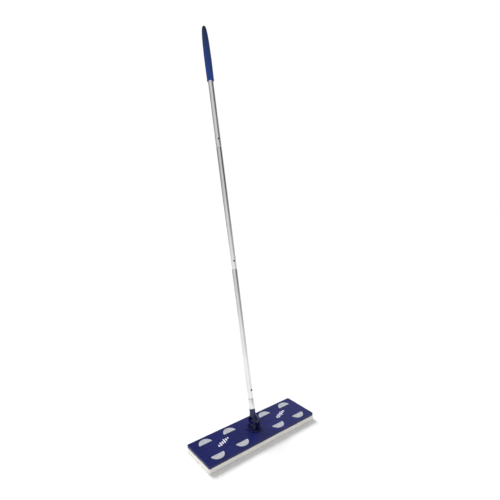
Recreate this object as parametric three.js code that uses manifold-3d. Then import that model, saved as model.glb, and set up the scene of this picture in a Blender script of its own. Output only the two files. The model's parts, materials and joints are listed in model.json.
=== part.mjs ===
// Flat mop: a rectangular head on a foam sole, a two-axis joint and a pole of three aluminium sections.
// Millimetres, +Z up. The origin is the centre of the sole's underside, +X runs along the head's long
// axis and +Y points to its back edge. The pole is drawn upright along its own +Z, from the swing pivot
// upwards, and two nested groups, one for each pivot, lean it to its resting place.
import * as THREE from 'three';
import { mergeVertices } from 'three/addons/utils/BufferGeometryUtils.js';
import Module from 'manifold-3d';

const wasm = await Module();
wasm.setup();

// ---- Driving dimensions, in millimetres and degrees ----
const touchGap = 0.3; // left between pieces that touch on the real mop
const pinFit = 0.1; // radial gap between a pin and the bore that it turns in

const plateLength = 430;
const plateWidth = 127;
const plateThickness = 8;
const plateSkin = 3; // over the pockets in the plate's underside
const plateCornerRadius = 4;
const soleHeight = 17;
const soleOverhang = 1;

const gripperRadius = 22.8;
const gripperCornerRadius = 1.6;
const gripperThickness = 2.2;
const gripperStandProud = 0.4;
const gripperLedge = 3;
const gripperFlatY = 30.8;
const gripperCentresX = [-166, -74.7, 74.7, 166];
const gripperSlitWidth = 0.7;
const cupDepth = 11;
const cupWall = 1.5;

const hubRadius = 26;
const hubThickness = 2.8;
const earInnerX = 13;
const earThickness = 5;
const earRadius = 8;
const pinRadius = 2.5;
const pinHeadRadius = 4.5;
const tiltPivotHeight = 42.5;
const pivotSpacing = 8;

const forkInnerY = 12.5;
const forkArmThickness = 5;
const forkTipHalfWidth = 9.5;
const forkTipDepth = 7.5;
const forkShoulderHalfWidth = 11.5;
const forkCrotchHeight = 15.5;
const neckRadius = 9.5;
const plugRadius = 8.4; // the part of the neck that is inside the pole
const neckTop = 39; // where the fork's neck goes into the pole, above the swing pivot
const neckInsideTube = 30;

const tubeRadius = 9.5;
const tubeWall = 0.7;
const swageLength = 50;
const stubExposed = 33;
const sectionLength = 430;
const buttonAboveSeam = 28;
const buttonRadius = 2.9;
const buttonProud = 1.5;

const gripStart = 1175;
const gripLowerRadius = 12.5;
const gripLipRadius = 13;
const gripRadius = 13;
const poleTop = 1384;

const leanBack = 15.8;
const leanRight = 3.3;

// ---- Dimensions worked out from the driving ones ----
const plateBottom = soleHeight + touchGap;
const plateTop = plateBottom + plateThickness;
const hubBottom = plateTop + touchGap;
const hubTop = hubBottom + hubThickness;
const gripperTop = plateTop + gripperStandProud;
const gripperBottom = gripperTop - gripperThickness;
const cupFloor = plateTop - cupDepth;
const earOuterX = earInnerX + earThickness;
const forkOuterY = forkInnerY + forkArmThickness;
const tubeBore = tubeRadius - tubeWall;
const swageRadius = tubeBore - touchGap;
const swageBore = swageRadius - tubeWall;
const firstSeam = neckTop + stubExposed;
const seams = [0, 1, 2].map((section) => firstSeam + section * sectionLength);
const tubeEnd = poleTop - 55;
const buttonTurns = [0, -22, -22]; // degrees about the pole, from facing the head's front edge

// ---- Materials ----
const material = (color, roughness, metalness) =>
  new THREE.MeshStandardMaterial({ color, roughness, metalness });
const navyPlastic = material(0x242a62, 0.35, 0);
const jointPlastic = material(0x23235a, 0.2, 0);
const creamFoam = material(0xe6e1d2, 0.95, 0);
const greyRubber = material(0xb9bec8, 0.7, 0);
const aluminium = material(0xc9c9cc, 0.3, 1);
const steel = material(0x8a8b90, 0.35, 1);
const blackPlastic = material(0x1a1a1c, 0.4, 0);
const blueFoam = material(0x263e7d, 0.85, 0);
const darkCap = material(0x191630, 0.5, 0);

// ---- Solids ----
// A closed three.js geometry becomes a manifold solid, for the booleans.
function solid(geometry) {
  geometry.deleteAttribute('normal');
  geometry.deleteAttribute('uv');
  const merged = mergeVertices(geometry, 1e-4);
  const index = merged.index.array;
  const triangles = [];
  for (let i = 0; i < index.length; i += 3) {
    const [a, b, c] = index.slice(i, i + 3);
    if (a !== b && b !== c && c !== a) triangles.push(a, b, c);
  }
  return new wasm.Manifold(new wasm.Mesh({
    numProp: 3,
    vertProperties: new Float32Array(merged.attributes.position.array),
    triVerts: new Uint32Array(triangles),
  }));
}

// A named mesh from a manifold solid.
function piece(name, body, finish) {
  const mesh = body.getMesh();
  const geometry = new THREE.BufferGeometry();
  geometry.setAttribute('position', new THREE.BufferAttribute(mesh.vertProperties, 3));
  geometry.setIndex(new THREE.BufferAttribute(mesh.triVerts, 1));
  geometry.computeVertexNormals();
  const result = new THREE.Mesh(geometry, finish);
  result.name = name;
  return result;
}

function arcPoints(centreX, centreY, radius, from, to, steps) {
  return Array.from({ length: steps + 1 }, (_, step) => {
    const angle = from + ((to - from) * step) / steps;
    return new THREE.Vector2(centreX + radius * Math.cos(angle), centreY + radius * Math.sin(angle));
  });
}

// Points of a cubic curve, as [x, y] pairs.
function curvePoints(start, startPull, endPull, end, steps) {
  const corners = [start, startPull, endPull, end].map((corner) => new THREE.Vector2(...corner));
  return new THREE.CubicBezierCurve(...corners).getPoints(steps).map((point) => [point.x, point.y]);
}

function roundedRectangle(length, width, radius) {
  const x = length / 2 - radius;
  const y = width / 2 - radius;
  const quarter = Math.PI / 2;
  return new THREE.Shape([
    ...arcPoints(x, y, radius, 0, quarter, 4),
    ...arcPoints(-x, y, radius, quarter, 2 * quarter, 4),
    ...arcPoints(-x, -y, radius, 2 * quarter, 3 * quarter, 4),
    ...arcPoints(x, -y, radius, 3 * quarter, 4 * quarter, 4),
  ]);
}

// The outline of a cloth gripper, inset all round: a half disc with its flat side along y = inset.
function halfMoon(inset) {
  const radius = gripperRadius - inset;
  const corner = gripperCornerRadius;
  const cornerY = inset + corner;
  const cornerX = Math.sqrt((radius - corner) ** 2 - cornerY ** 2);
  const lift = Math.atan2(cornerY, cornerX);
  return new THREE.Shape([
    ...arcPoints(cornerX, cornerY, corner, -Math.PI / 2, lift, 3),
    ...arcPoints(0, 0, radius, lift, Math.PI - lift, 16).slice(1, -1),
    ...arcPoints(-cornerX, cornerY, corner, Math.PI - lift, 1.5 * Math.PI, 3),
  ]);
}

function slab(shape, bottom, top) {
  const geometry = new THREE.ExtrudeGeometry(shape, { depth: top - bottom, bevelEnabled: false });
  return solid(geometry.translate(0, 0, bottom));
}

// A slab whose top and bottom edges are rounded off.
function pillow(shape, bottom, top, edge) {
  const geometry = new THREE.ExtrudeGeometry(shape, {
    depth: top - bottom - 2 * edge,
    bevelThickness: edge,
    bevelSize: edge,
    bevelOffset: -edge,
    bevelSegments: 3,
  });
  return solid(geometry.translate(0, 0, bottom + edge));
}

// Extrusions of an outline drawn in the (Y, Z) plane along X, or drawn in the (X, Z) plane along Y.
function slabAlongX(shape, from, to, curveSegments = 8) {
  const geometry = new THREE.ExtrudeGeometry(shape, { depth: to - from, bevelEnabled: false, curveSegments });
  geometry.translate(0, 0, from);
  const basis = [new THREE.Vector3(0, 1, 0), new THREE.Vector3(0, 0, 1), new THREE.Vector3(1, 0, 0)];
  return solid(geometry.applyMatrix4(new THREE.Matrix4().makeBasis(...basis)));
}

function slabAlongY(shape, from, to, curveSegments = 8) {
  const geometry = new THREE.ExtrudeGeometry(shape, { depth: to - from, bevelEnabled: false, curveSegments });
  geometry.translate(0, 0, -to);
  const basis = [new THREE.Vector3(1, 0, 0), new THREE.Vector3(0, 0, 1), new THREE.Vector3(0, -1, 0)];
  return solid(geometry.applyMatrix4(new THREE.Matrix4().makeBasis(...basis)));
}

function block(x0, x1, y0, y1, z0, z1) {
  const geometry = new THREE.BoxGeometry(x1 - x0, y1 - y0, z1 - z0);
  return solid(geometry.translate((x0 + x1) / 2, (y0 + y1) / 2, (z0 + z1) / 2));
}

// A solid of revolution about +Z. The profile is a list of [radius, height], up the outside.
function turned(profile, segments = 32) {
  const points = profile.map(([radius, height]) => new THREE.Vector2(radius, height));
  return solid(new THREE.LatheGeometry(points, segments).rotateX(Math.PI / 2));
}

// A turned ring: up the outside, then down the inside, and back to where it began.
const turnedRing = (profile, segments) => turned([...profile, profile[0]], segments);

function rod(radius, from, to, segments = 24) {
  return turned([[0, from], [radius, from], [radius, to], [0, to]], segments);
}

const alongX = (body) => body.rotate([0, 90, 0]);
const alongY = (body) => body.rotate([-90, 0, 0]);
const union = (bodies) => bodies.reduce((whole, body) => whole.add(body));

// ---- Head ----
// Places a solid drawn for the gripper at x = 0, with its flat side on y = 0, at each gripper's place.
function atGrippers(body) {
  return [1, -1].flatMap((side) => gripperCentresX.map((x) => {
    const turnedBody = side > 0 ? body : body.rotate([0, 0, 180]);
    return turnedBody.translate([x, side * gripperFlatY, 0]);
  }));
}

function foamSole() {
  const outline = roundedRectangle(
    plateLength + 2 * soleOverhang,
    plateWidth + 2 * soleOverhang,
    plateCornerRadius + soleOverhang,
  );
  const wellInset = gripperLedge - cupWall - touchGap;
  const well = slab(halfMoon(wellInset), cupFloor - cupWall - touchGap, soleHeight + 1);
  const body = pillow(outline, 0, soleHeight, 1);
  return piece('foam_sole', body.subtract(union(atGrippers(well))), creamFoam);
}

const screwRadius = 1.5;
const screwHeadRadius = 3;
const screwHeadThickness = 1.8;
const screwTop = hubTop + 8;
const screwPlaces = [-1, 1].flatMap((sideX) => [-1, 1].map((sideY) => (
  [sideX * (earInnerX + earThickness / 2), sideY * 5]
)));
const atScrews = (body) => screwPlaces.map(([x, y]) => body.translate([x, y, 0]));

// Pockets under the plate, between ribs: two rows on each side of the hub, clear of the cups.
function platePockets() {
  const rib = 2.5;
  const pocketsInRow = 5;
  const firstX = hubRadius + rib;
  const lastX = plateLength / 2 - 5;
  const pitch = (lastX - firstX + rib) / pocketsInRow;
  const places = Array.from({ length: pocketsInRow }, (_, i) => firstX + i * pitch);
  const row = union(places.map((x) => (
    block(x, x + pitch - rib, rib / 2, gripperFlatY - rib, plateBottom - 1, plateTop - plateSkin)
  )));
  const pair = row.add(row.mirror([0, 1, 0]));
  return pair.add(pair.mirror([1, 0, 0]));
}

function basePlate() {
  const sheet = pillow(roundedRectangle(plateLength, plateWidth, plateCornerRadius), plateBottom, plateTop, 0.8);
  const cup = slab(halfMoon(gripperLedge - cupWall), cupFloor - cupWall, plateBottom + 1);
  const rebate = slab(halfMoon(-touchGap), gripperBottom - touchGap, plateTop + 1);
  const cavity = slab(halfMoon(gripperLedge), cupFloor, plateTop);
  const screwHole = rod(screwRadius + pinFit, plateBottom - 1, plateTop + 1, 12);
  const screwRecess = rod(
    screwHeadRadius + touchGap,
    plateBottom - 1,
    plateBottom + screwHeadThickness + 2 * touchGap,
    12,
  );
  const moulding = sheet.add(union(atGrippers(cup)));
  const cuts = [
    ...atGrippers(rebate),
    ...atGrippers(cavity),
    ...atScrews(screwHole),
    ...atScrews(screwRecess),
    platePockets(),
  ];
  return piece('base_plate', moulding.subtract(union(cuts)), navyPlastic);
}

// A half-moon of rubber with slits that fan out from one point, so that the cloth tucks in between.
function gripperBody() {
  const sheet = slab(halfMoon(0), gripperBottom, gripperTop);
  const fanY = 8;
  const slitLength = 11;
  const slits = [0, 45, 90, 135, 180].map((angle) => (
    block(0, slitLength, -gripperSlitWidth / 2, gripperSlitWidth / 2, gripperBottom - 1, gripperTop + 1)
      .rotate([0, 0, angle])
      .translate([0, fanY, 0])
  ));
  return sheet.subtract(union(slits));
}

function clothGrippers() {
  return atGrippers(gripperBody()).map((body, i) => piece(`cloth_gripper_${i + 1}`, body, greyRubber));
}

function jointHub() {
  const circle = new THREE.Shape(arcPoints(0, 0, hubRadius, 0, 2 * Math.PI, 48).slice(0, -1));
  const flange = pillow(circle, hubBottom, hubTop, 0.9);
  const ear = new THREE.Shape([
    new THREE.Vector2(-earRadius - 1.5, hubBottom + 1),
    new THREE.Vector2(earRadius + 1.5, hubBottom + 1),
    ...arcPoints(0, tiltPivotHeight, earRadius, 0, Math.PI, 16),
  ]);
  const ears = [-1, 1].map((side) => {
    const faces = [side * earInnerX, side * earOuterX];
    return slabAlongX(ear, Math.min(...faces), Math.max(...faces));
  });
  const ribTop = tiltPivotHeight - pinHeadRadius - 2;
  const rib = new THREE.Shape([
    new THREE.Vector2(earOuterX - 1, hubTop - 1),
    new THREE.Vector2(earOuterX + 4.5, hubTop - 1),
    new THREE.Vector2(earOuterX + 4.5, hubTop),
    new THREE.Vector2(earOuterX - 1, ribTop),
  ]);
  const ribPair = slabAlongY(rib, 3, 5).add(slabAlongY(rib, -5, -3));
  const ribs = [ribPair, ribPair.mirror([1, 0, 0])];
  const bore = alongX(rod(pinRadius + pinFit, -earOuterX - 1, earOuterX + 1))
    .translate([0, 0, tiltPivotHeight]);
  const pilots = atScrews(rod(screwRadius + pinFit, hubBottom - 1, screwTop + touchGap, 12));
  const dishHalfLength = 20;
  const dishFloor = hubBottom + 1;
  const dish = block(-earInnerX, earInnerX, -dishHalfLength, dishHalfLength, dishFloor, hubTop + 1);
  const body = union([flange, ...ears, ...ribs]).subtract(union([dish, bore, ...pilots]));
  return piece('joint_hub', body, jointPlastic);
}

// Self-tapping screws, put in from below before the sole is glued on.
function hubScrews() {
  const headBottom = plateBottom + touchGap;
  const headTop = headBottom + screwHeadThickness;
  const body = turned([
    [0, headBottom],
    [screwHeadRadius, headBottom],
    [screwHeadRadius, headTop],
    [screwRadius, headTop],
    [screwRadius, screwTop - screwRadius],
    [0, screwTop],
  ], 12);
  return atScrews(body).map((screw, i) => piece(`hub_screw_${i + 1}`, screw, steel));
}

// A pivot pin along +Z with a domed head at its low end, centred on the joint that it holds.
const pinHeadThickness = 1.6;
const pinClipThickness = 0.9;
function pivotPin(halfWidth) {
  const headFace = -halfWidth - touchGap;
  return turned([
    [0, headFace - pinHeadThickness],
    [pinHeadRadius - 1, headFace - pinHeadThickness],
    [pinHeadRadius, headFace - pinHeadThickness / 2],
    [pinHeadRadius, headFace],
    [pinRadius, headFace],
    [pinRadius, halfWidth + 2 * touchGap + pinClipThickness + 0.6],
    [0, halfWidth + 2 * touchGap + pinClipThickness + 1],
  ], 24);
}

// The push-on ring that keeps a pivot pin in, at the end away from its head.
function pinClip(halfWidth) {
  const inner = pinRadius + pinFit;
  const low = halfWidth + touchGap;
  const high = low + pinClipThickness;
  return turnedRing([[pinHeadRadius, low], [pinHeadRadius, high], [inner, high], [inner, low]], 24);
}

function tiltPin() {
  return piece('tilt_pin', alongX(pivotPin(earOuterX)).translate([0, 0, tiltPivotHeight]), steel);
}

function tiltPinClip() {
  return piece('tilt_pin_clip', alongX(pinClip(earOuterX)).translate([0, 0, tiltPivotHeight]), steel);
}

// ---- Joint: the parts below are drawn about their own pivot ----
// The block that turns on the tilt pin between the hub's ears and carries the swing pin above it.
function crossBlock() {
  const lowerRadius = 6;
  const upperRadius = 6;
  const lowerHalf = earInnerX - touchGap;
  const upperHalf = forkInnerY - touchGap;
  const lowerBarrel = alongX(rod(lowerRadius, -lowerHalf, lowerHalf, 32));
  const upperBarrel = alongY(rod(upperRadius, -upperHalf, upperHalf, 32)).translate([0, 0, pivotSpacing]);
  const web = block(-upperRadius, upperRadius, -lowerRadius + 1, lowerRadius - 1, 0, pivotSpacing);
  const lowerBore = alongX(rod(pinRadius + pinFit, -lowerHalf - 1, lowerHalf + 1));
  const upperBore = alongY(rod(pinRadius + pinFit, -upperHalf - 1, upperHalf + 1))
    .translate([0, 0, pivotSpacing]);
  const body = union([lowerBarrel, upperBarrel, web]).subtract(lowerBore.add(upperBore));
  return piece('cross_block', body, jointPlastic);
}

function swingPin() {
  return piece('swing_pin', alongY(pivotPin(forkOuterY)), steel);
}

function swingPinClip() {
  return piece('swing_pin_clip', alongY(pinClip(forkOuterY)), steel);
}

// One half of an outline, as a list of curves from the bottom up, and its mirror image.
function mirroredShape(curves, steps) {
  const half = curves.flatMap((curve) => curve.getPoints(curve.isLineCurve ? 1 : steps).slice(1));
  const right = [curves[0].getPoint(0), ...half];
  const left = right.map((point) => new THREE.Vector2(-point.x, point.y)).reverse();
  return new THREE.Shape([...right, ...left].filter((point, i, all) => (
    i === 0 || point.distanceTo(all[i - 1]) > 1e-6
  )));
}

// The fork: an arch astride the cross block, which flows into a round neck. Its form is what the front
// outline, the side outline and a turned body have in common.
function fork() {
  const top = neckTop + neckInsideTube;
  const plugStart = neckTop - touchGap;
  const shoulder = 8;
  const neckStart = neckTop - 9;
  const at = (x, y) => new THREE.Vector2(x, y);
  const front = mirroredShape([
    new THREE.EllipseCurve(0, 0, forkTipHalfWidth, forkTipDepth, -Math.PI / 2, 0),
    new THREE.CubicBezierCurve(
      at(forkTipHalfWidth, 0),
      at(forkTipHalfWidth, 4),
      at(forkShoulderHalfWidth, 4),
      at(forkShoulderHalfWidth, shoulder),
    ),
    new THREE.CubicBezierCurve(
      at(forkShoulderHalfWidth, shoulder),
      at(forkShoulderHalfWidth, 16),
      at(neckRadius, 18),
      at(neckRadius, neckStart),
    ),
    new THREE.LineCurve(at(neckRadius, neckStart), at(neckRadius, top)),
  ], 8);
  const side = mirroredShape([
    new THREE.LineCurve(at(forkOuterY - 3, -forkTipDepth), at(forkOuterY, -1)),
    new THREE.CubicBezierCurve(
      at(forkOuterY, -1),
      at(forkOuterY, 9),
      at(neckRadius, 15),
      at(neckRadius, neckStart),
    ),
    new THREE.LineCurve(at(neckRadius, neckStart), at(neckRadius, top)),
  ], 8);
  const wide = forkOuterY + 2;
  const envelope = turned([
    [0, -forkTipDepth - 1],
    [wide, -forkTipDepth - 1],
    ...curvePoints([wide, -2], [wide, 8], [neckRadius, 14], [neckRadius, neckStart], 8),
    [neckRadius, plugStart],
    [plugRadius, plugStart],
    [plugRadius, top - 1],
    [plugRadius - 1, top],
    [0, top],
  ], 40);
  const outside = slabAlongY(front, -forkOuterY - 1, forkOuterY + 1)
    .intersect(slabAlongX(side, -forkShoulderHalfWidth - 1, forkShoulderHalfWidth + 1))
    .intersect(envelope);
  const archSpring = forkCrotchHeight - 9;
  const arch = mirroredShape([
    new THREE.LineCurve(at(forkInnerY, -forkTipDepth - 1), at(forkInnerY, archSpring)),
    new THREE.EllipseCurve(0, archSpring, forkInnerY, forkCrotchHeight - archSpring, 0, Math.PI / 2),
  ], 10);
  const opening = slabAlongX(arch, -20, 20);
  const bore = alongY(rod(pinRadius + pinFit, -forkOuterY - 2, forkOuterY + 2));
  return piece('fork', outside.subtract(opening.add(bore)), jointPlastic);
}

// ---- Pole ----
// A hole for a snap button, on the side of the pole that the button faces.
function buttonHole(seam, turn) {
  return rod(buttonRadius + touchGap, 5, tubeRadius + 2, 16)
    .rotate([90, 0, 0])
    .rotate([0, 0, turn])
    .translate([0, 0, seam + buttonAboveSeam]);
}

// A tube whose upper end is necked down to slip into the next tube, with the holes for its buttons.
function neckedTube(name, start, shoulder, holes) {
  const top = shoulder + swageLength;
  const body = turnedRing([
    [tubeRadius, start],
    [tubeRadius, shoulder],
    [swageRadius, shoulder],
    [swageRadius, top - 1],
    [swageRadius - 0.4, top],
    [swageBore, top],
    [swageBore, shoulder - 1],
    [tubeBore, shoulder - 2.5],
    [tubeBore, start],
  ]);
  return piece(name, body.subtract(union(holes)), aluminium);
}

function poleTubes() {
  const holes = seams.map((seam, i) => buttonHole(seam, buttonTurns[i]));
  const [lowSeam, middleSeam, highSeam] = seams;
  const upper = turnedRing([
    [tubeRadius, highSeam + touchGap],
    [tubeRadius, tubeEnd],
    [tubeBore, tubeEnd],
    [tubeBore, highSeam + touchGap],
  ]);
  return [
    neckedTube('stub_tube', neckTop, lowSeam, [holes[0]]),
    neckedTube('lower_tube', lowSeam + touchGap, middleSeam, [holes[0], holes[1]]),
    neckedTube('middle_tube', middleSeam + touchGap, highSeam, [holes[1], holes[2]]),
    piece('upper_tube', upper.subtract(holes[2]), aluminium),
  ];
}

// Turns a solid drawn for a button that faces -Y at height 0 to its place on the pole.
const atButton = (body, i) => body.rotate([0, 0, buttonTurns[i]]).translate([0, 0, seams[i] + buttonAboveSeam]);
const buttonFlangeRadius = 4.2;
const buttonFlangeInner = 4.7;
const buttonFlangeOuter = 5.7;

function snapButton() {
  const tip = tubeRadius + buttonProud;
  return turned([
    [0, buttonFlangeInner],
    [buttonFlangeRadius, buttonFlangeInner],
    [buttonFlangeRadius, buttonFlangeOuter],
    [buttonRadius, buttonFlangeOuter],
    [buttonRadius, tip - 1.2],
    [buttonRadius - 0.6, tip - 0.3],
    [0, tip],
  ], 20).rotate([90, 0, 0]);
}

// A leaf spring bent to a V: one leg lies under the button and the other on the tube's far wall.
function leafSpring() {
  const thickness = 0.4;
  const halfWidth = 3.4;
  const bend = -23;
  const buttonLeg = -buttonFlangeInner + touchGap;
  const wallLeg = Math.sqrt(swageBore ** 2 - halfWidth ** 2) - touchGap;
  const outline = new THREE.Shape([
    new THREE.Vector2(buttonLeg, 4),
    new THREE.Vector2(buttonLeg, -4),
    ...arcPoints(0, bend + 1.2, 1.2, Math.PI, 2 * Math.PI, 6),
    new THREE.Vector2(wallLeg, -2),
    new THREE.Vector2(wallLeg - thickness, -2),
    ...arcPoints(0, bend + 1.2, 1.2 - thickness, 2 * Math.PI, Math.PI, 6),
    new THREE.Vector2(buttonLeg + thickness, -4),
    new THREE.Vector2(buttonLeg + thickness, 4),
  ]);
  return slabAlongX(outline, -halfWidth, halfWidth);
}

const joinNames = ['lower', 'middle', 'upper'];
const snapButtons = () => joinNames.map((name, i) => (
  piece(`snap_button_${name}`, atButton(snapButton(), i), blackPlastic)
));
const buttonSprings = () => joinNames.map((name, i) => (
  piece(`button_spring_${name}`, atButton(leafSpring(), i), steel)
));

// The grip: a foam sleeve with a rolled lower lip, which narrows to the end cap at the top.
const capBase = poleTop - 18;
const capRadius = 8.9;
const capStemRadius = 6;

function gripSleeve() {
  const swell = curvePoints(
    [gripLowerRadius, gripStart + 6],
    [gripLowerRadius + 0.2, gripStart + 30],
    [gripRadius, gripStart + 50],
    [gripRadius, poleTop - 130],
    6,
  );
  const taper = curvePoints(
    [gripRadius, poleTop - 130],
    [gripRadius - 0.4, poleTop - 85],
    [gripRadius - 0.7, poleTop - 42],
    [capRadius + 0.1, capBase - touchGap],
    12,
  );
  const body = turnedRing([
    [gripLowerRadius - 0.3, gripStart],
    [gripLipRadius, gripStart + 1],
    [gripLipRadius, gripStart + 4],
    ...swell,
    ...taper.slice(1),
    [capStemRadius + touchGap, capBase - touchGap],
    [capStemRadius + touchGap, tubeEnd + 1],
    [tubeRadius + touchGap, tubeEnd + 1],
    [tubeRadius + touchGap, gripStart],
  ], 36);
  return piece('grip_sleeve', body, blueFoam);
}

function gripCap() {
  const plugRadius = tubeBore - touchGap;
  const dome = curvePoints(
    [capRadius, capBase],
    [capRadius - 0.8, capBase + 8],
    [capRadius - 2.2, poleTop],
    [0, poleTop],
    9,
  );
  const body = turned([
    [0, tubeEnd - 28],
    [plugRadius - 1, tubeEnd - 28],
    [plugRadius, tubeEnd - 26],
    [plugRadius, tubeEnd - 1],
    [capStemRadius, tubeEnd - 1],
    [capStemRadius, capBase],
    ...dome,
  ], 36);
  return piece('grip_cap', body, darkCap);
}

// ---- Assembly ----
const radians = THREE.MathUtils.degToRad;

const swingGroup = new THREE.Group();
swingGroup.position.z = pivotSpacing;
swingGroup.rotation.y = radians(leanRight);
swingGroup.add(fork(), swingPin(), swingPinClip(), ...poleTubes());
swingGroup.add(...snapButtons(), ...buttonSprings(), gripSleeve(), gripCap());

const tiltGroup = new THREE.Group();
tiltGroup.position.z = tiltPivotHeight;
tiltGroup.rotation.x = -radians(leanBack);
tiltGroup.add(crossBlock(), swingGroup);

const mop = new THREE.Group();
mop.add(foamSole(), basePlate(), ...clothGrippers(), jointHub(), ...hubScrews());
mop.add(tiltPin(), tiltPinClip(), tiltGroup);

export default mop;
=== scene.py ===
import json
import math

import bmesh
import bpy
from mathutils import Matrix, Vector, noise


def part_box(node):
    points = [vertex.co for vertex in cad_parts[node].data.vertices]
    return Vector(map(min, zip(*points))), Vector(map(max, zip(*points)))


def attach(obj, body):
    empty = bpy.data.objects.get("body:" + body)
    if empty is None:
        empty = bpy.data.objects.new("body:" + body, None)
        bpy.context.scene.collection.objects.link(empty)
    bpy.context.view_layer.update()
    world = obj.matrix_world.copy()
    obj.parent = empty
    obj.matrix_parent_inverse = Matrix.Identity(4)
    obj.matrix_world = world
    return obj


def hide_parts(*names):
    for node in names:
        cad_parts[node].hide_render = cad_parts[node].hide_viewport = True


# A flat mop, detailed over its CAD frame: metres, +Z up, with the origin under the middle of the sole.
# A length without MM is in millimetres, apart from the floor's size and the camera's place, in metres.
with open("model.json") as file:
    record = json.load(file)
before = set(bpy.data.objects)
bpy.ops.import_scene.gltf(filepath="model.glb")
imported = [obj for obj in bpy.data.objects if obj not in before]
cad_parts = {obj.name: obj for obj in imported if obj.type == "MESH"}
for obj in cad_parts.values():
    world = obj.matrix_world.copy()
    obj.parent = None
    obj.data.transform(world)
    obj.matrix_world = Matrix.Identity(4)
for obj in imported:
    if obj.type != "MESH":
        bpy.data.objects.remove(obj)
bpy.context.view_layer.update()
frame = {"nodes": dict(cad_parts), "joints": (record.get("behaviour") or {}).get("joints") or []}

MM = 0.001
scene = bpy.context.scene

TUBES = ("stub_tube", "lower_tube", "middle_tube", "upper_tube")
BUTTONS = ("lower", "middle", "upper")
HOLE_RADIUS = 3.2

# How many segments go round a turned piece.
TUBE_SEGMENTS = 96
GRIP_SEGMENTS = 72
BUTTON_SEGMENTS = 40

# ---- The pole's own frame: origin on the swing pivot, Y along the swing pin, Z up the pole ----
swing = next(joint for joint in frame["joints"] if joint["name"] == "side_swing")
tube_low, tube_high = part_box("upper_tube")
pivot = Vector(swing["pos_m"])
pole_y = Vector(swing["axis"]).normalized()
pole_z = (tube_low + tube_high) / 2 - pivot
pole_z = (pole_z - pole_y * pole_z.dot(pole_y)).normalized()
pole_x = pole_y.cross(pole_z)
POLE = Matrix.Translation(pivot) @ Matrix((pole_x, pole_y, pole_z)).transposed().to_4x4()


def along_pole(node):
    """Start, end, smallest and largest radius of a CAD node on the pole."""
    points = [POLE.inverted() @ vertex.co / MM for vertex in frame["nodes"][node].data.vertices]
    heights = [point.z for point in points]
    radii = [math.hypot(point.x, point.y) for point in points]
    return min(heights), max(heights), min(radii), max(radii)


def button_frame(which):
    """A frame on the pole's axis at the button's height, with Z out through the button."""
    joint = next(joint for joint in frame["joints"] if joint["name"] == f"{which}_button_press")
    outward = -Vector(joint["axis"]).normalized()
    low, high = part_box(f"snap_button_{which}")
    height = (POLE.inverted() @ ((low + high) / 2)).z
    centre = POLE @ Vector((0, 0, height))
    return Matrix.Translation(centre) @ outward.to_track_quat("Z", "Y").to_matrix().to_4x4()


# ---- Making meshes and pieces ----
def add_object(name, mesh, matrix=None):
    made = bpy.data.objects.new(name, mesh)
    scene.collection.objects.link(made)
    if matrix is not None:
        made.matrix_world = matrix
    return made


def shade(mesh, sharp_angle=35):
    mesh.shade_smooth()
    mesh.set_sharp_from_angle(angle=math.radians(sharp_angle))


def apply_modifiers(piece):
    graph = bpy.context.evaluated_depsgraph_get()
    made = bpy.data.meshes.new_from_object(piece.evaluated_get(graph))
    piece.modifiers.clear()
    piece.data = made


def finish_piece(piece, finish, body, replaced=()):
    """Gives a piece its material and its body, and hides the CAD nodes that it stands for."""
    piece.data.materials.clear()
    piece.data.materials.append(finish)
    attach(piece, body)
    if replaced:
        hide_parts(*replaced)


def fix_normals(mesh):
    work = bmesh.new()
    work.from_mesh(mesh)
    bmesh.ops.recalc_face_normals(work, faces=work.faces)
    work.to_mesh(mesh)
    work.free()


def lathe(name, profile, segments, closed=False):
    """A mesh turned about Z from (radius, height) points; a point on the axis makes one vertex."""
    vertices = []
    rings = []
    for radius, height in profile:
        count = 1 if radius == 0 else segments
        rings.append([len(vertices) + step for step in range(count)])
        for step in range(count):
            angle = 2 * math.pi * step / count
            vertices.append((radius * math.cos(angle) * MM, radius * math.sin(angle) * MM, height * MM))
    pairs = list(zip(rings, rings[1:]))
    if closed:
        pairs.append((rings[-1], rings[0]))
    faces = []
    for lower, upper in pairs:
        for step in range(segments):
            corner = [lower[step % len(lower)], lower[(step + 1) % len(lower)]]
            corner += [upper[(step + 1) % len(upper)], upper[step % len(upper)]]
            face = list(dict.fromkeys(corner))
            if len(face) > 2:
                faces.append(face)
    mesh = bpy.data.meshes.new(name)
    mesh.from_pydata(vertices, [], faces)
    fix_normals(mesh)
    return mesh


def bezier(start, control_a, control_b, end, steps):
    """Points of a cubic curve, with its start left out."""
    points = []
    for step in range(1, steps + 1):
        t = step / steps
        weights = ((1 - t) ** 3, 3 * t * (1 - t) ** 2, 3 * t * t * (1 - t), t ** 3)
        corners = (start, control_a, control_b, end)
        points.append(tuple(sum(w * c[axis] for w, c in zip(weights, corners)) for axis in (0, 1)))
    return points


def remeshed(name, node, voxel, relax_passes):
    """A copy of a CAD node with every edge softened, as moulded plastic, rubber or foam has it."""
    weld_distance = 0.001
    mesh = frame["nodes"][node].data.copy()
    work = bmesh.new()
    work.from_mesh(mesh)
    bmesh.ops.remove_doubles(work, verts=work.verts, dist=weld_distance * MM)
    work.to_mesh(mesh)
    work.free()
    made = add_object(name, mesh)
    remesh = made.modifiers.new("remesh", "REMESH")
    remesh.mode = "VOXEL"
    remesh.voxel_size = voxel * MM
    remesh.use_smooth_shade = True
    relax = made.modifiers.new("relax", "SMOOTH")
    relax.factor = 0.5
    relax.iterations = relax_passes
    apply_modifiers(made)
    return made


# ---- Material nodes ----
def map_range(tree, value, low, high, start=0.0, end=1.0):
    """From start to end as the value goes from low to high."""
    node = tree.nodes.new("ShaderNodeMapRange")
    node.inputs["From Min"].default_value = low
    node.inputs["From Max"].default_value = high
    node.inputs["To Min"].default_value = start
    node.inputs["To Max"].default_value = end
    tree.links.new(value, node.inputs["Value"])
    return node.outputs["Result"]


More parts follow.
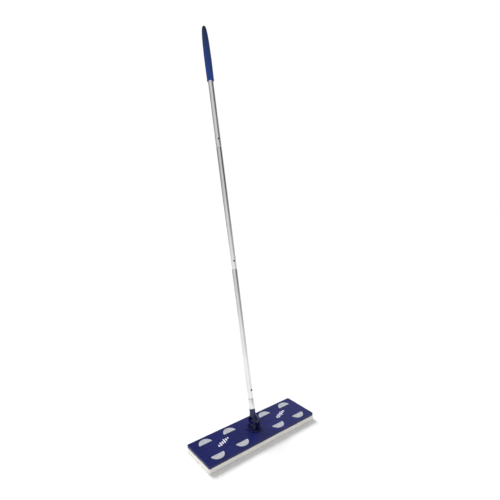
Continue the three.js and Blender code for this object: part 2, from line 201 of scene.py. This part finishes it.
def colour_ramp(tree, value, stops):
    """Colours, or greys given as numbers, by value: a list of (place, colour)."""
    node = tree.nodes.new("ShaderNodeValToRGB")
    while len(node.color_ramp.elements) < len(stops):
        node.color_ramp.elements.new(0.5)
    for element, (place, colour) in zip(node.color_ramp.elements, stops):
        element.position = place
        element.color = (*colour, 1) if isinstance(colour, tuple) else (colour, colour, colour, 1)
    tree.links.new(value, node.inputs["Fac"])
    return node.outputs["Color"]


class Finish:
    """A Principled material that is built from noise in the piece's own coordinates."""

    def __init__(self, name, **constants):
        self.material = bpy.data.materials.new(name)
        self.material.use_nodes = True
        self.tree = self.material.node_tree
        self.shader = self.tree.nodes["Principled BSDF"]
        self.coordinates = self.tree.nodes.new("ShaderNodeTexCoord").outputs["Object"]
        self.normal = None
        for socket, value in constants.items():
            self.shader.inputs[socket.replace("_", " ")].default_value = value

    def stretched(self, stretch):
        mapping = self.tree.nodes.new("ShaderNodeMapping")
        mapping.inputs["Scale"].default_value = stretch
        self.tree.links.new(self.coordinates, mapping.inputs["Vector"])
        return mapping.outputs["Vector"]

    def noise(self, size, detail=3.0, roughness=0.55, stretch=None):
        """Soft noise whose features are about this size across."""
        texture = self.tree.nodes.new("ShaderNodeTexNoise")
        texture.inputs["Scale"].default_value = 1 / (size * MM)
        texture.inputs["Detail"].default_value = detail
        texture.inputs["Roughness"].default_value = roughness
        place = self.stretched(stretch) if stretch else self.coordinates
        self.tree.links.new(place, texture.inputs["Vector"])
        return texture.outputs["Fac"]

    def cells(self, size):
        """The distance to the middle of a cell, for cells of about this size."""
        texture = self.tree.nodes.new("ShaderNodeTexVoronoi")
        texture.inputs["Scale"].default_value = 1 / (size * MM)
        self.tree.links.new(self.coordinates, texture.inputs["Vector"])
        return texture.outputs["Distance"]

    def height(self, low, high):
        """0 to 1 as the point's own Z goes from low to high."""
        split = self.tree.nodes.new("ShaderNodeSeparateXYZ")
        self.tree.links.new(self.coordinates, split.inputs["Vector"])
        return map_range(self.tree, split.outputs["Z"], low * MM, high * MM)

    def ramp(self, value, *stops):
        return colour_ramp(self.tree, value, stops)

    def multiplied(self, factor, first, second):
        """The first colour, multiplied by the second as far as the factor says."""
        node = self.tree.nodes.new("ShaderNodeMix")
        node.data_type = "RGBA"
        node.blend_type = "MULTIPLY"
        node.inputs["Factor"].default_value = factor
        for socket, colour in (("A", first), ("B", second)):
            target = next(s for s in node.inputs if s.name == socket and s.type == "RGBA")
            self.tree.links.new(colour, target)
        return next(s for s in node.outputs if s.type == "RGBA")

    def bump(self, value, depth, strength):
        """Adds relief of about this depth."""
        node = self.tree.nodes.new("ShaderNodeBump")
        node.inputs["Distance"].default_value = depth * MM
        node.inputs["Strength"].default_value = strength
        self.tree.links.new(value, node.inputs["Height"])
        if self.normal is not None:
            self.tree.links.new(self.normal, node.inputs["Normal"])
        self.normal = node.outputs["Normal"]
        self.tree.links.new(self.normal, self.shader.inputs["Normal"])

    def set(self, socket, value):
        self.tree.links.new(value, self.shader.inputs[socket])


# ---- Materials ----
def cream_foam():
    made = Finish("cream_foam", Specular_IOR_Level=0.2)
    pore = 1.3
    bottom_band_height = 3.5
    patches = made.ramp(made.noise(35), (0.3, (0.82, 0.79, 0.74)), (0.7, (0.9, 0.88, 0.85)))
    # Painted shade: the colour is darker in the middle of each pore cell, standing in for the shade
    # inside the pores.
    painted_pore_shade = made.ramp(made.cells(pore), (0.05, 0.7), (0.35, 1.0))
    # The foam's colour is darker in a band along its bottom edge.
    darker_at_bottom = made.ramp(made.height(0, bottom_band_height), (0.0, 0.8), (1.0, 1.0))
    made.set("Base Color", made.multiplied(1.0, made.multiplied(0.6, patches, painted_pore_shade), darker_at_bottom))
    made.set("Roughness", made.ramp(made.noise(4), (0.3, 0.85), (0.7, 1.0)))
    made.bump(made.cells(pore), 0.5, 0.7)
    made.bump(made.noise(0.5), 0.15, 0.6)
    return made.material


def navy_plastic():
    made = Finish("navy_plastic", Specular_IOR_Level=0.3)
    clouds = made.noise(60, 2.0)
    scuffs = made.noise(2.2, 6.0, 0.7, (0.12, 1.0, 1.0))
    made.set("Base Color", made.ramp(clouds, (0.3, (0.009, 0.012, 0.085)), (0.7, (0.014, 0.018, 0.115))))
    made.set("Roughness", made.ramp(scuffs, (0.35, 0.24), (0.75, 0.38)))
    made.bump(made.noise(0.9, 4.0), 0.06, 0.5)
    made.bump(made.noise(90, 1.0), 0.5, 0.35)
    return made.material


def glossy_navy():
    made = Finish("glossy_navy_plastic", Specular_IOR_Level=0.45)
    flow = made.noise(9, 3.0, 0.5, (1.0, 1.0, 0.4))
    made.set("Base Color", made.ramp(flow, (0.3, (0.006, 0.007, 0.055)), (0.7, (0.01, 0.011, 0.085))))
    made.set("Roughness", made.ramp(made.noise(1.5, 5.0), (0.35, 0.12), (0.7, 0.24)))
    made.bump(made.noise(5, 2.0), 0.1, 0.4)
    return made.material


def grey_rubber():
    made = Finish("grey_rubber", Specular_IOR_Level=0.2)
    darkest = (0.34, 0.355, 0.39)
    middling = (0.43, 0.445, 0.485)
    lightest = (0.57, 0.585, 0.62)
    mottle = made.noise(7, 5.0, 0.7)
    made.set("Base Color", made.ramp(mottle, (0.3, darkest), (0.5, middling), (0.72, lightest)))
    made.set("Roughness", made.ramp(made.noise(2), (0.3, 0.5), (0.7, 0.75)))
    made.bump(made.noise(0.8, 3.0), 0.08, 0.7)
    return made.material


def pole_aluminium():
    made = Finish("pole_aluminium", Metallic=1.0)
    drawn = made.noise(0.7, 4.0, 0.6, (1.0, 1.0, 0.008))
    clouds = made.noise(30, 3.0, 0.5, (1.0, 1.0, 0.35))
    tone = made.ramp(clouds, (0.3, (0.74, 0.73, 0.72)), (0.7, (0.86, 0.86, 0.86)))
    streaks = made.ramp(drawn, (0.3, 0.9), (0.6, 1.0))
    made.set("Base Color", made.multiplied(1.0, tone, streaks))
    made.set("Roughness", made.ramp(drawn, (0.3, 0.13), (0.7, 0.22)))
    made.bump(drawn, 0.02, 0.35)
    return made.material


def steel(name, darkest, lightest):
    """Turned steel between two greys."""
    made = Finish(name, Metallic=1.0)
    turned = made.noise(0.6, 4.0)
    made.set("Base Color", made.ramp(turned, (0.3, darkest), (0.7, lightest)))
    made.set("Roughness", made.ramp(made.noise(0.9), (0.3, 0.22), (0.7, 0.4)))
    made.bump(turned, 0.02, 0.4)
    return made.material


def black_plastic():
    made = Finish("black_plastic", Specular_IOR_Level=0.45)
    grain = made.noise(1.5)
    made.set("Base Color", made.ramp(grain, (0.3, (0.006, 0.006, 0.007)), (0.7, (0.018, 0.018, 0.02))))
    made.set("Roughness", made.ramp(made.noise(0.8), (0.3, 0.28), (0.7, 0.45)))
    made.bump(made.noise(0.4), 0.02, 0.5)
    return made.material


def blue_foam(low, high):
    """The grip's foam, with painted shade that makes it darker towards its top."""
    made = Finish("blue_foam", Specular_IOR_Level=0.2)
    bottom = (0.021, 0.057, 0.24)
    middle = (0.021, 0.046, 0.17)
    top = (0.021, 0.03, 0.095)
    # Painted shade: the colour runs from lit blue at the bottom of the grip to dark at its top.
    fade = made.ramp(made.height(low, high), (0.0, bottom), (0.6, middle), (1.0, top))
    grain = made.ramp(made.noise(3, 5.0, 0.7), (0.3, 0.78), (0.7, 1.12))
    made.set("Base Color", made.multiplied(1.0, fade, grain))
    made.set("Roughness", made.ramp(made.noise(2), (0.3, 0.72), (0.7, 0.92)))
    made.bump(made.cells(0.9), 0.25, 0.6)
    made.bump(made.noise(0.4), 0.08, 0.5)
    return made.material


def dark_plastic():
    made = Finish("dark_plastic", Specular_IOR_Level=0.35)
    clouds = made.noise(4)
    made.set("Base Color", made.ramp(clouds, (0.3, (0.008, 0.007, 0.022)), (0.7, (0.015, 0.013, 0.036))))
    made.set("Roughness", made.ramp(made.noise(1.2, 4.0), (0.3, 0.4), (0.7, 0.6)))
    made.bump(made.noise(0.6), 0.05, 0.6)
    return made.material


def print_ink():
    made = Finish("print_ink", Specular_IOR_Level=0.3)
    wear = made.noise(2, 6.0, 0.7)
    made.set("Base Color", made.ramp(wear, (0.3, (0.6, 0.61, 0.74)), (0.6, (0.82, 0.83, 0.92))))
    made.set("Roughness", made.ramp(made.noise(1.5), (0.3, 0.45), (0.7, 0.65)))
    made.bump(made.noise(0.7), 0.02, 0.5)
    return made.material


def floor_paper():
    made = Finish("floor_paper", Specular_IOR_Level=0.0, Roughness=1.0)
    clouds = made.noise(400, 2.0)
    made.set("Base Color", made.ramp(clouds, (0.3, (0.93, 0.93, 0.93)), (0.7, (0.95, 0.95, 0.95))))
    return made.material


# ---- Head ----
def sole_pad():
    """The foam under the plate, with its edges eased and its sides a little uneven."""
    ease = 0.5 * MM
    broad_lump = 14 * MM
    fine_lump = 5 * MM
    side_band = 2 * MM
    low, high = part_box("foam_sole")
    pad = remeshed("sole_pad", "foam_sole", voxel=1.6, relax_passes=2)
    for vertex in pad.data.vertices:
        at = vertex.co
        swell = noise.noise(at / broad_lump) + 0.5 * noise.noise(at / fine_lump)
        inset = ease * (0.5 + 0.5 * swell)
        on_end = min(at.x - low.x, high.x - at.x) < side_band
        on_side = min(at.y - low.y, high.y - at.y) < side_band
        if on_end:
            at.x -= math.copysign(inset, at.x)
        if on_side:
            at.y -= math.copysign(inset, at.y)
        at.z = max(at.z, 0.0)
    finish_piece(pad, cream_foam(), "head", ["foam_sole"])


def gripper_pattern():
    """A half-moon with a raised rim and sagging flaps, and how far its straight side is from y = 0."""
    rim_height = 0.35 * MM
    rim_inset = 1.3 * MM
    rim_width = 0.7 * MM
    sag_depth = 0.9 * MM
    sag_radius = 5 * MM
    sag_y = 8 * MM
    flap_thickness = 1.1 * MM
    low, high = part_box("cloth_gripper_1")
    flat_side = min(abs(low.y), abs(high.y))
    radius = (high.x - low.x) / 2
    pad = remeshed("gripper_pattern", "cloth_gripper_1", voxel=0.45, relax_passes=1)
    mesh = pad.data
    bpy.data.objects.remove(pad)
    mesh.transform(Matrix.Translation((-(low.x + high.x) / 2, -flat_side, 0)))
    for vertex in mesh.vertices:
        at = vertex.co
        from_edge = min(at.y, radius - math.hypot(at.x, at.y))
        rim = rim_height * math.exp(-(((from_edge - rim_inset) / rim_width) ** 2))
        sag = sag_depth * math.exp(-((math.hypot(at.x, at.y - sag_y) / sag_radius) ** 2))
        if at.z > high.z - flap_thickness:
            at.z += rim
        at.z -= sag
    return mesh, flat_side


def gripper_pads():
    """Eight copies of the half-moon, with their straight sides towards the head's middle line."""
    mesh, flat_side = gripper_pattern()
    rubber = grey_rubber()
    for number in range(1, 9):
        node = f"cloth_gripper_{number}"
        low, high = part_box(node)
        side = 1 if low.y > 0 else -1
        place = Matrix.Translation(((low.x + high.x) / 2, side * flat_side, 0))
        turn = Matrix.Rotation(0 if side > 0 else math.pi, 4, "Z")
        made = add_object(f"gripper_pad_{number}", mesh, place @ turn)
        finish_piece(made, rubber, "head", [node])


def slanted_bars(name):
    """A row of slanted bars with round ends, each a thin solid."""
    bar_lengths = (10, 17, 13, 19, 12, 8)
    bar_step = 9
    bar_half_width = 2.3
    slant = math.radians(62)
    end_steps = 8
    ink_bottom = 0.01
    ink_thickness = 0.07
    vertices = []
    faces = []
    for number, length in enumerate(bar_lengths):
        middle_x = (number - (len(bar_lengths) - 1) / 2) * bar_step
        outline = []
        for end, first_angle in ((1, -90), (-1, 90)):
            for step in range(end_steps + 1):
                angle = math.radians(first_angle + 180 * step / end_steps)
                along = end * (length / 2 - bar_half_width) + bar_half_width * math.cos(angle)
                across = bar_half_width * math.sin(angle)
                x = middle_x + along * math.cos(slant) - across * math.sin(slant)
                y = along * math.sin(slant) + across * math.cos(slant)
                outline.append((x * MM, y * MM))
        bottom = [len(vertices) + step for step in range(len(outline))]
        top = [corner + len(outline) for corner in bottom]
        for height in (ink_bottom, ink_bottom + ink_thickness):
            vertices += [(x, y, height * MM) for x, y in outline]
        faces += [bottom, top]
        faces += list(zip(bottom, bottom[1:] + bottom[:1], top[1:] + top[:1], top))
    mesh = bpy.data.meshes.new(name)
    mesh.from_pydata(vertices, [], faces)
    fix_normals(mesh)
    return mesh


def print_marks():
    """A plain printed mark on the plate, on each side of the joint."""
    centre_y = 4
    slope = math.radians(20)
    turn = Matrix.Rotation(slope, 4, "Z")
    plate_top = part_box("base_plate")[1].z
    ink = print_ink()
    for name, centre_x in (("print_mark_left", -119), ("print_mark_right", 121)):
        place = Matrix.Translation((centre_x * MM, centre_y * MM, plate_top))
        made = add_object(name, slanted_bars(name), place @ turn)
        finish_piece(made, ink, "head")


# ---- Joint ----
def moulded_joint():
    """The hub, the cross block and the fork, in glossy plastic."""
    finish = glossy_navy()
    for name, node, body, voxel in (
        ("moulded_hub", "joint_hub", "head", 0.45),
        ("moulded_cross_block", "cross_block", "cross", 0.4),
        ("moulded_fork", "fork", "pole", 0.5),
    ):
        made = remeshed(name, node, voxel, relax_passes=3)
        finish_piece(made, finish, body, [node])


def metal_parts():
    """Steel for the screws, springs, pins and clips, which keep their CAD shapes."""
    plated = steel("plated_steel", 0.2, 0.3)
    blackened = steel("blackened_steel", 0.03, 0.07)
    for name, node in frame["nodes"].items():
        if name.startswith(("hub_screw", "button_spring")):
            node.material_slots[0].material = plated
        if name.startswith(("tilt_pin", "swing_pin")):
            node.material_slots[0].material = blackened


# ---- Pole ----
def plain_profile(start, end, outer, bore, rim):
    return [(outer - rim, start), (outer, start + rim), (outer, end), (bore, end), (bore, start)]


def necked_profile(start, shoulder, end, outer, bore, neck, neck_bore, rim):
    """A tube whose upper end is necked down, to slip into the next tube."""
    tip = 1
    tip_taper = 0.3
    slope_start = shoulder - 2.5
    slope_end = shoulder - 1
    return [
        (outer - rim, start), (outer, start + rim), (outer, shoulder - 2 * rim), (outer - rim, shoulder),
        (neck, shoulder + rim), (neck, end - tip), (neck - tip_taper, end), (neck_bore, end),
        (neck_bore, slope_end), (bore, slope_start), (bore, start),
    ]


def cut_hole(tube, which):
    """Drills the near wall of a tube for a snap button."""
    drill_start = 4
    drill_end = 14
    profile = [(0, drill_start), (HOLE_RADIUS, drill_start), (HOLE_RADIUS, drill_end), (0, drill_end)]
    cutter = add_object("drill", lathe("drill", profile, BUTTON_SEGMENTS), button_frame(which))
    cut = tube.modifiers.new("hole", "BOOLEAN")
    cut.operation = "DIFFERENCE"
    cut.solver = "EXACT"
    cut.object = cutter
    apply_modifiers(tube)
    bpy.data.objects.remove(cutter)


def tubes():
    """The pole's sections, with rounded rims and a hole for each snap button."""
    rim = 0.5
    seam_gap = 0.8
    neck_gap = 0.4
    finish = pole_aluminium()
    _, _, bore, outer = along_pole("upper_tube")
    neck = bore - neck_gap
    for node, next_node in zip(TUBES, (*TUBES[1:], None)):
        start, end, neck_bore, _ = along_pole(node)
        if next_node:
            shoulder = along_pole(next_node)[0] - seam_gap
            profile = necked_profile(start, shoulder, end, outer, bore, neck, neck_bore, rim)
        else:
            profile = plain_profile(start, end, outer, bore, rim)
        made = add_object(f"drawn_{node}", lathe(node, profile, TUBE_SEGMENTS, closed=True), POLE)
        for which in BUTTONS:
            height = (POLE.inverted() @ button_frame(which).translation).z / MM
            if start < height < end:
                cut_hole(made, which)
        shade(made.data)
        finish_piece(made, finish, "pole", [node])


def snap_buttons():
    """A flange inside the tube, and a domed shank that stands out through its hole."""
    clearance = 0.3
    dome_height = 1.3
    dome_shoulder = 0.5
    dome_flat = 0.6
    flange_thickness = 0.9
    fillet = 0.1
    shank = HOLE_RADIUS - clearance
    finish = black_plastic()
    for which in BUTTONS:
        node = f"snap_button_{which}"
        place = button_frame(which)
        points = [place.inverted() @ vertex.co / MM for vertex in frame["nodes"][node].data.vertices]
        tip = max(point.z for point in points)
        base = min(point.z for point in points)
        flange = max(math.hypot(point.x, point.y) for point in points)
        flange_top = base + flange_thickness
        dome_start = (shank, tip - dome_height)
        profile = [(0, base), (flange, base), (flange, flange_top), (shank, flange_top + fillet)]
        profile += [dome_start]
        profile += bezier(dome_start, (shank, tip - dome_shoulder), (shank * dome_flat, tip), (0, tip), 8)
        mesh = lathe(node, profile, BUTTON_SEGMENTS)
        shade(mesh)
        made = add_object(f"domed_button_{which}", mesh, place)
        finish_piece(made, finish, f"{which}_button", [node])


def grip():
    """The foam sleeve, with a rolled lip at its lower end and a slightly uneven skin."""
    bore = 9.8
    neck = 6.3
    # How far the lip's points are inside the largest radius, and above the sleeve's start.
    lip = ((1.4, 0), (0.7, 0.3), (0.1, 1.2), (0, 2.5), (0.1, 3.9), (0.5, 5.5))
    dent_depth = 0.22 * MM
    dent_width = 9 * MM
    dent_length = 16 * MM
    thinnest = 0.1 * MM
    start, end, _, radius = along_pole("grip_sleeve")
    _, top, _, cap_radius = along_pole("grip_cap")
    tube_end = along_pole("upper_tube")[1]
    neck_start = tube_end + 1
    outside = [(radius - inset, start + height) for inset, height in lip]
    # One curve runs out from the lip to the widest place, and one from there in to the cap.
    widest = (radius, top - 130)
    outside += bezier(outside[-1], (radius - 0.3, start + 30), (radius, start + 50), widest, 30)
    outside += bezier(
        widest, (radius - 0.4, top - 85), (radius - 0.7, top - 42), (cap_radius + 0.1, end), 60
    )
    inside = [(neck, end), (neck, neck_start), (bore, neck_start), (bore, start)]
    mesh = lathe("foam_grip", outside + inside, GRIP_SEGMENTS, closed=True)
    for vertex in mesh.vertices:
        at = vertex.co
        across = Vector((at.x, at.y, 0))
        round_tube = across.length > bore * MM + thinnest
        past_tube = at.z > tube_end * MM and across.length > neck * MM + thinnest
        if round_tube or past_tube:
            wave = noise.noise(Vector((at.x / dent_width, at.y / dent_width, at.z / dent_length)))
            at -= across.normalized() * dent_depth * (0.5 + 0.5 * wave)
    shade(mesh, 50)
    made = add_object("foam_grip", mesh, POLE)
    finish_piece(made, blue_foam(start, end), "pole", ["grip_sleeve"])


def end_cap():
    """The dome over the grip's end, with a stem through the sleeve to a plug in the tube."""
    gap = 0.3
    edge = 0.4
    stem = 6
    lead = 1
    start, end, _, radius = along_pole("grip_cap")
    _, tube_end, bore, _ = along_pole("upper_tube")
    plug = bore - gap
    plug_top = tube_end - 1
    base = along_pole("grip_sleeve")[1] + gap
    rim = (radius, base + edge)
    profile = [(0, start), (plug - lead, start), (plug, start + 2 * lead), (plug, plug_top)]
    profile += [(stem, plug_top), (stem, base), (radius - edge, base), rim]
    profile += bezier(rim, (radius - 0.8, base + 8), (radius - 2.2, end), (0, end), 24)
    mesh = lathe("round_cap", profile, GRIP_SEGMENTS)
    shade(mesh)
    made = add_object("round_end_cap", mesh, POLE)
    finish_piece(made, dark_plastic(), "pole", ["grip_cap"])


# ---- Floor, light and camera ----
# How bright the room is by azimuth, in degrees from +X towards +Y: up high, and near the horizon.
ROOM = [
    (-180, 0.62), (-150, 0.8), (-129, 0.84), (-100, 0.55), (-60, 0.14),
    (-38, 0.03), (-8, 0.06), (12, 0.6), (34, 0.72), (48, 0.3),
    (62, 0.04), (120, 0.06), (140, 0.5), (160, 0.6), (180, 0.62),
]
HORIZON = [
    (-180, 1.15), (-129, 1.45), (-38, 1.1), (0, 0.9),
    (50, 0.7), (90, 0.35), (130, 0.5), (180, 1.15),
]
# How much of the horizon's brightness shows at the horizon, and at what height none of it does.
HORIZON_SHARE = 0.8
HORIZON_TOP = 0.6


def floor():
    """A plain pale sheet, wide enough for every view."""
    half = 12
    mesh = bpy.data.meshes.new("floor")
    corners = [(-half, -half, 0), (half, -half, 0), (half, half, 0), (-half, half, 0)]
    mesh.from_pydata(corners, [], [(0, 1, 2, 3)])
    made = add_object("floor", mesh)
    made.data.materials.append(floor_paper())


def add_sun(name, azimuth, elevation, energy, angle):
    """A wide, soft sun that gloss doesn't mirror; azimuth and elevation say where it shines from."""
    lamp = bpy.data.lights.new(name, "SUN")
    lamp.energy = energy
    lamp.angle = math.radians(angle)
    made = bpy.data.objects.new(name, lamp)
    scene.collection.objects.link(made)
    made.visible_glossy = False
    turn = Matrix.Rotation(math.radians(azimuth), 4, "Z")
    made.matrix_world = turn @ Matrix.Rotation(math.radians(90 - elevation), 4, "Y")


def room_light():
    """A white backdrop for the camera, and a room of lighter and darker sides that lights the mop."""
    world = bpy.data.worlds.new("studio")
    scene.world = world
    world.use_nodes = True
    tree = world.node_tree
    tree.nodes.clear()
    add = tree.nodes.new
    link = tree.links.new
    direction = add("ShaderNodeSeparateXYZ")
    link(add("ShaderNodeTexCoord").outputs["Generated"], direction.inputs["Vector"])
    azimuth = add("ShaderNodeMath")
    azimuth.operation = "ARCTAN2"
    link(direction.outputs["Y"], azimuth.inputs[0])
    link(direction.outputs["X"], azimuth.inputs[1])
    round_room = map_range(tree, azimuth.outputs["Value"], -math.pi, math.pi)
    haze = map_range(tree, direction.outputs["Z"], 0, HORIZON_TOP, HORIZON_SHARE, 0)
    fade = add("ShaderNodeMixRGB")
    link(haze, fade.inputs["Fac"])
    for socket, brightness in (("Color1", ROOM), ("Color2", HORIZON)):
        stops = [((degrees + 180) / 360, strength) for degrees, strength in brightness]
        link(colour_ramp(tree, round_room, stops), fade.inputs[socket])
    room = add("ShaderNodeBackground")
    link(fade.outputs["Color"], room.inputs["Color"])
    backdrop = add("ShaderNodeBackground")
    backdrop.inputs["Color"].default_value = (1, 1, 1, 1)
    mix = add("ShaderNodeMixShader")
    link(add("ShaderNodeLightPath").outputs["Is Camera Ray"], mix.inputs["Fac"])
    link(room.outputs["Background"], mix.inputs[1])
    link(backdrop.outputs["Background"], mix.inputs[2])
    link(mix.outputs["Shader"], add("ShaderNodeOutputWorld").inputs["Surface"])
    scene.view_settings.view_transform = "Standard"


def camera():
    place = (-0.7419, -0.9218, 0.815)
    heading = math.radians(-38.549)
    dip = math.radians(9.408)
    roll = math.radians(-0.29)
    lens = bpy.data.cameras.new("camera")
    lens.sensor_width = 36
    lens.lens = 28.333
    lens.shift_x = -0.0028
    made = bpy.data.objects.new("camera", lens)
    scene.collection.objects.link(made)
    turn = Matrix.Rotation(heading, 4, "Z") @ Matrix.Rotation(math.pi / 2 - dip, 4, "X")
    made.matrix_world = Matrix.Translation(place) @ turn @ Matrix.Rotation(roll, 4, "Z")
    scene.camera = made


sole_pad()
gripper_pads()
print_marks()
frame["nodes"]["base_plate"].material_slots[0].material = navy_plastic()
moulded_joint()
metal_parts()
tubes()
snap_buttons()
grip()
end_cap()
floor()
add_sun("back_light", azimuth=97, elevation=47, energy=3.1, angle=33)
room_light()
camera()
